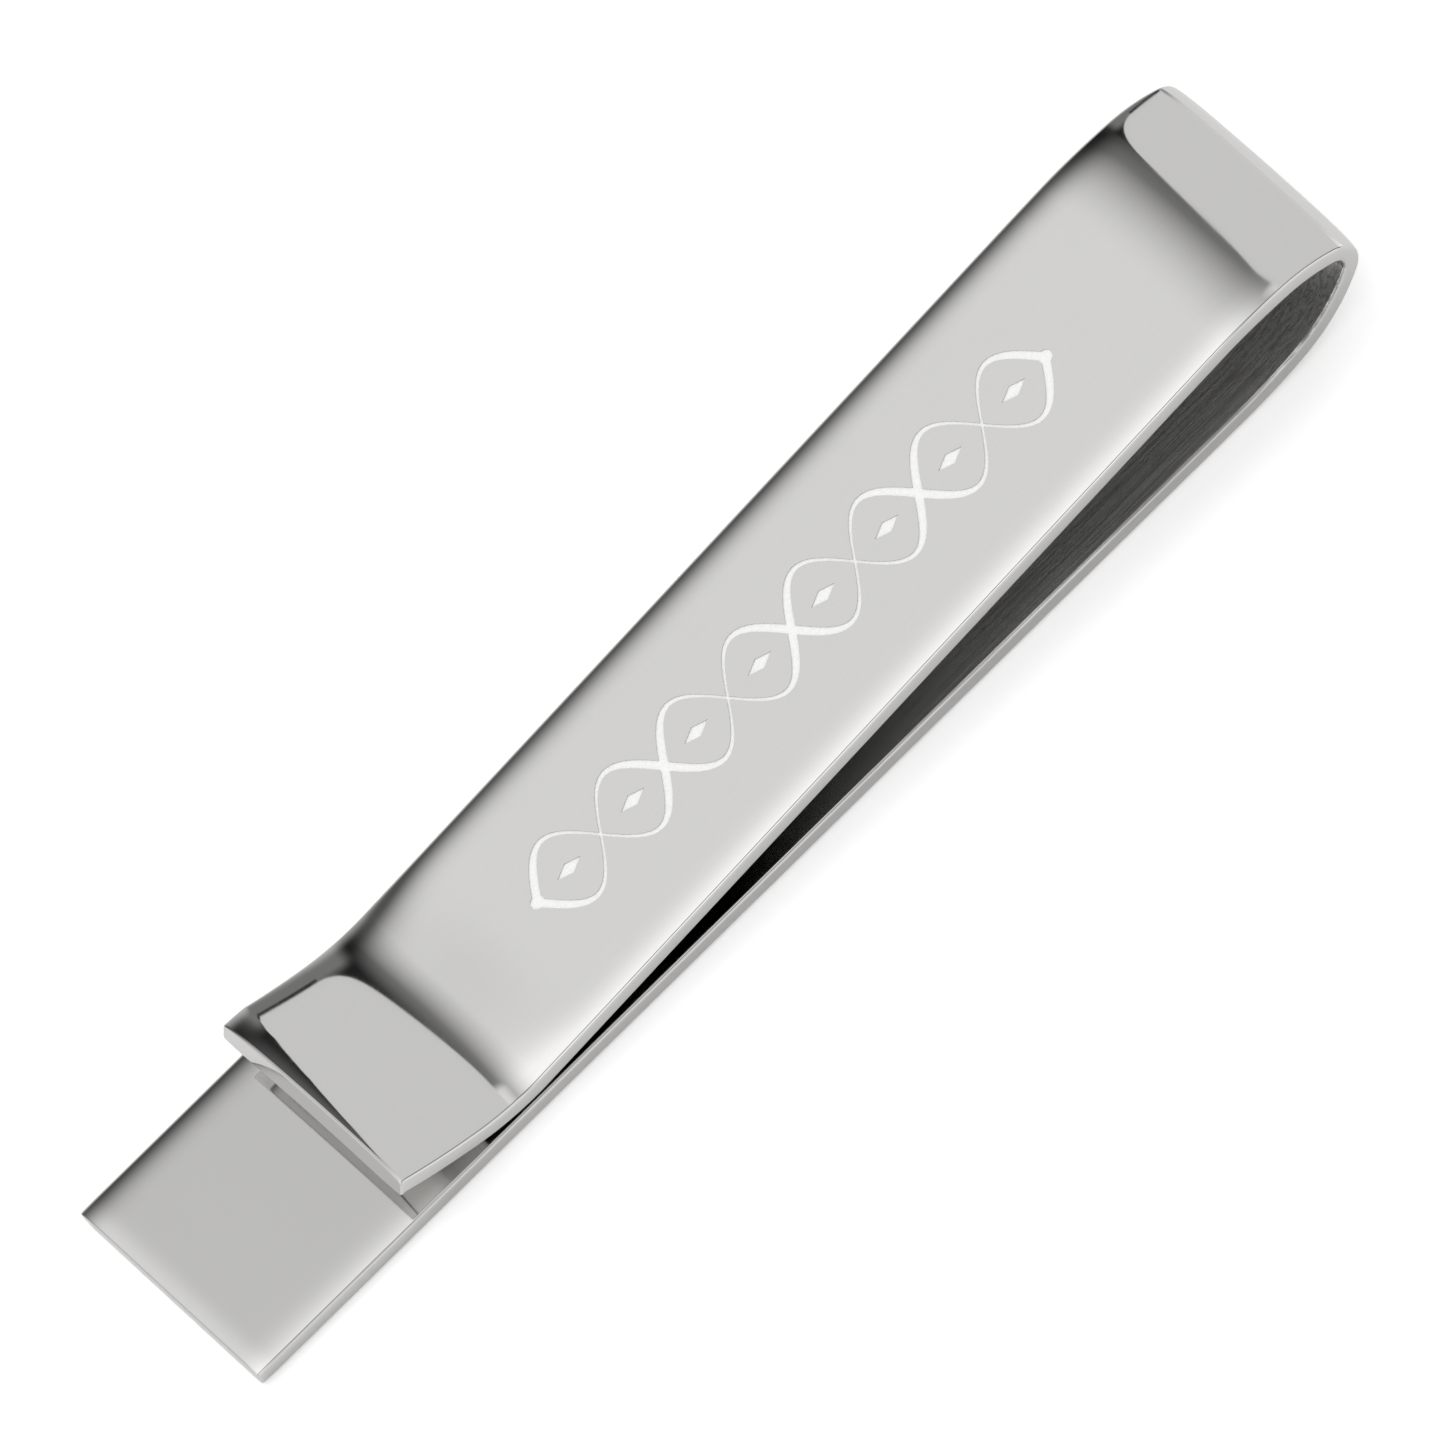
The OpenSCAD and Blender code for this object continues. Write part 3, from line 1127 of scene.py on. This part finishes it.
@dataclass(frozen=True)
class Ceiling:
    """What the steel mirrors: one large soft light, by lean and tip as for the reflector.

    It fades towards the bow, falls off towards the far side and grows towards the near side. A
    step says where it starts and ends, and what the radiance or a factor is before and after it.

    Attributes:
        level: Radiance straight overhead.
        fade: Lean at which it starts to fade, lean at which it is gone, and the power it fades by.
        dark: Step by lean to the dark that the reflector stands in.
        beyond: Step by lean up to the light past the reflector.
        joined: Step by tip that ends the light behind the reflector's near part.
        joined_from: Leans over which that light comes in.
        near: Step by tip down from the brighter near side.
        far: Step by tip down to the dark far side.
        camera_gap: Tip of the dark strip where the camera stands, and the step at its sides.
        tip_gap: Lean of the dark strip at the lip's end, and the step at its sides.
        low_down: Step by height above the horizon, where the light is weaker.
        low_until: Leans over which that weakening ends.
        wall: Step by tip up to a dim wall past the reflector's far end.
        wall_from: Leans over which the wall comes in.
        back: Step by tip up to a brighter wall all along the far side.
    """

    level: float = 0.977
    fade: tuple[float, float, float] = (-3.0, 16.0, 1.9)
    dark: Step = (12.0, 21.0, 0.25, 0.03)
    beyond: Step = (60.0, 76.0, 0.0, 0.86)
    joined: Step = (20.0, 25.0, 0.72, 0.0)
    joined_from: tuple[float, float] = (4.0, 16.0)
    near: Step = (18.0, 30.5, 1.43, 1.0)
    far: Step = (34.0, 45.0, 1.0, 0.12)
    camera_gap: tuple[float, Step] = (-32.5, (5.0, 12.0, 0.08, 1.0))
    tip_gap: tuple[float, Step] = (-27.0, (4.0, 10.0, 0.15, 1.0))
    low_down: Step = (0.0, 0.42, 0.55, 1.0)
    low_until: tuple[float, float] = (16.0, 30.0)
    wall: Step = (39.5, 43.0, 0.0, 0.24)
    wall_from: tuple[float, float] = (16.0, 26.0)
    back: Step = (46.0, 53.0, 0.0, 0.45)

    def build(self, b: TreeBuilder) -> Any:
        """Adds the ceiling's nodes.

        Args:
            b: Builder of the world's tree.

        Returns:
            The radiance.
        """
        x, y, z = b.split(b.add("ShaderNodeTexCoord").outputs["Generated"])
        lean = b.math("MULTIPLY", b.math("ARCTAN2", x, z), 180 / math.pi)
        tip = b.math("MULTIPLY", b.math("ARCSINE", y), 180 / math.pi)
        start, end, power = self.fade
        share = b.math("DIVIDE", b.math("SUBTRACT", lean, start), end - start)
        faded = b.math("POWER", b.math("MAXIMUM", share, 0.0), power)
        level = b.math("MULTIPLY_ADD", faded, -self.level, self.level)
        joined = b.math("MULTIPLY", b.ramp(tip, *self.joined), b.ramp(lean, *self.joined_from))
        for other in (b.ramp(lean, *self.dark), b.ramp(lean, *self.beyond), joined):
            level = b.math("MAXIMUM", level, other)
        gaps = []
        for angle, (middle, step) in ((tip, self.camera_gap), (lean, self.tip_gap)):
            gaps.append(b.ramp(b.math("ABSOLUTE", b.math("SUBTRACT", angle, middle)), *step))
        low_down = b.math("MAXIMUM", b.ramp(z, *self.low_down), b.ramp(lean, *self.low_until))
        for factor in (b.ramp(tip, *self.near), b.ramp(tip, *self.far), *gaps, low_down):
            level = b.math("MULTIPLY", level, factor)
        wall = b.math("MULTIPLY", b.ramp(tip, *self.wall), b.ramp(lean, *self.wall_from))
        return b.math("ADD", b.math("ADD", level, wall), b.ramp(tip, *self.back))


@dataclass(frozen=True)
class Studio:
    """Pale floor, soft light all round, and what the steel mirrors.

    Attributes:
        floor_size: Side of the floor, in metres.
        floor_gap: Gap between the floor and the clip, in mm.
        floor_colour: Colour of the floor.
        floor_lift: Light added to the floor where it is looked at directly, so that it is white.
        sun_angle: Softness of the key light, in degrees.
        sun_power: Strength of the key light.
        sun_from: Direction that it comes from.
        soft_light: Radiance of the light from all round.
        ceiling: What the steel mirrors overhead.
        reflector: The lit card.
    """

    floor_size: float = 3.0
    floor_gap: float = 0.02
    floor_colour: float = 0.9
    floor_lift: float = 0.34
    sun_angle: float = 50.0
    sun_power: float = 0.6
    sun_from: tuple[float, float, float] = (-0.25, 0.6, 1.0)
    soft_light: float = 0.88
    ceiling: Ceiling = Ceiling()
    reflector: Reflector = Reflector()

    def build(self) -> None:
        """Makes the floor, the surroundings, the reflector and the key light."""
        self.floor()
        self.world()
        self.reflector.build()
        self.key_light()

    def floor(self) -> bpy.types.Object:
        """Makes the plain floor just under the clip."""
        bm = bmesh.new()
        bmesh.ops.create_grid(bm, x_segments=2, y_segments=2, size=self.floor_size / 2)
        bmesh.ops.translate(bm, verts=bm.verts, vec=(0.0, 0.0, -self.floor_gap * MM))
        floor = to_object("floor", bm)
        material, b = new_material("floor_paper")
        paper = b.out("ShaderNodeBsdfDiffuse", {"Color": (*[self.floor_colour] * 3, 1.0)})
        direct = b.add("ShaderNodeLightPath").outputs["Is Camera Ray"]
        lift = b.out("ShaderNodeEmission", {"Strength": b.math("MULTIPLY", direct, self.floor_lift)})
        both = b.out("ShaderNodeAddShader", {0: paper, 1: lift})
        b.add("ShaderNodeOutputMaterial", {"Surface": both})
        floor.data.materials.append(material)
        return floor

    def world(self) -> None:
        """Makes the surroundings: a pattern for the steel to mirror, and plain soft light."""
        world = bpy.data.worlds.new("studio")
        bpy.context.scene.world = world
        world.use_nodes = True
        tree = world.node_tree
        tree.nodes.clear()
        b = TreeBuilder(tree)
        path = b.add("ShaderNodeLightPath").outputs
        soft = {"Factor": path["Is Diffuse Ray"], "A": self.ceiling.build(b), "B": self.soft_light}
        lit = b.out("ShaderNodeMix", soft, data_type="FLOAT")
        seen = {"Factor": path["Is Camera Ray"], "A": lit, "B": 1.0}
        shown = b.out("ShaderNodeMix", seen, data_type="FLOAT")
        white = {"Color": (1.0, 1.0, 1.0, 1.0), "Strength": shown}
        b.add("ShaderNodeOutputWorld", {"Surface": b.out("ShaderNodeBackground", white)})

    def key_light(self) -> bpy.types.Object:
        """Makes the soft key light, from behind the far side, which the steel doesn't mirror."""
        lamp = bpy.data.lights.new("key_light", "SUN")
        lamp.angle = math.radians(self.sun_angle)
        lamp.energy = self.sun_power
        light = bpy.data.objects.new("key_light", lamp)
        light.rotation_mode = "QUATERNION"
        light.rotation_quaternion = Vector(self.sun_from).to_track_quat("Z", "Y")
        light.visible_glossy = False
        bpy.context.scene.collection.objects.link(light)
        return light


@dataclass(frozen=True)
class StudioCamera:
    """A long lens that looks down on the clip's near long edge.

    Attributes:
        distance: Distance to the clip, in metres.
        view_width: Width that the picture takes in at the clip, in mm.
        elevation: Height above the floor, in degrees.
        turn: Turn towards the tip of the rear leaf, in degrees.
        roll: Turn of the camera about its own axis, in degrees.
        aim: Point that the camera is turned to, in mm.
        nudge: Shift of that point along the picture's own sides, in mm.
    """

    distance: float = 2.0
    view_width: float = 46.52
    elevation: float = 57.0
    turn: float = 9.74
    roll: float = -36.25
    aim: tuple[float, float, float] = (0.0, 0.0, 1.5)
    nudge: tuple[float, float] = (0.032, 0.348)

    def build(self) -> bpy.types.Object:
        """Makes the camera and gives it to the scene."""
        up_angle, turn, roll = (math.radians(a) for a in (self.elevation, self.turn, self.roll))
        level = math.cos(up_angle)
        back = Vector((-math.sin(turn) * level, -math.cos(turn) * level, math.sin(up_angle)))
        right = Vector((math.cos(turn), -math.sin(turn), 0.0))
        up = back.cross(right)
        side = math.cos(roll) * right + math.sin(roll) * up
        top = math.cos(roll) * up - math.sin(roll) * right
        target = (Vector(self.aim) + self.nudge[0] * side + self.nudge[1] * top) * MM
        lens = bpy.data.cameras.new("studio_camera")
        lens.lens = lens.sensor_width * self.distance / (self.view_width * MM)
        lens.clip_start, lens.clip_end = 0.1, 20.0
        camera = bpy.data.objects.new("studio_camera", lens)
        camera.matrix_world = Matrix.Translation(target + back * self.distance) @ Matrix(
            (side, top, back)
        ).transposed().to_4x4()
        bpy.context.scene.collection.objects.link(camera)
        bpy.context.scene.camera = camera
        return camera


def main() -> None:
    """Builds the studio and the clip, and reports each piece."""
    logging.basicConfig(level=logging.INFO, format="%(name)s: %(message)s")
    bpy.context.scene.view_settings.view_transform = "Standard"
    StudioCamera().build()
    Studio().build()
    for piece in TieBar(StripPlan.from_frame(), Finishes.build()).build():
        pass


if __name__ == "__main__":
    main()
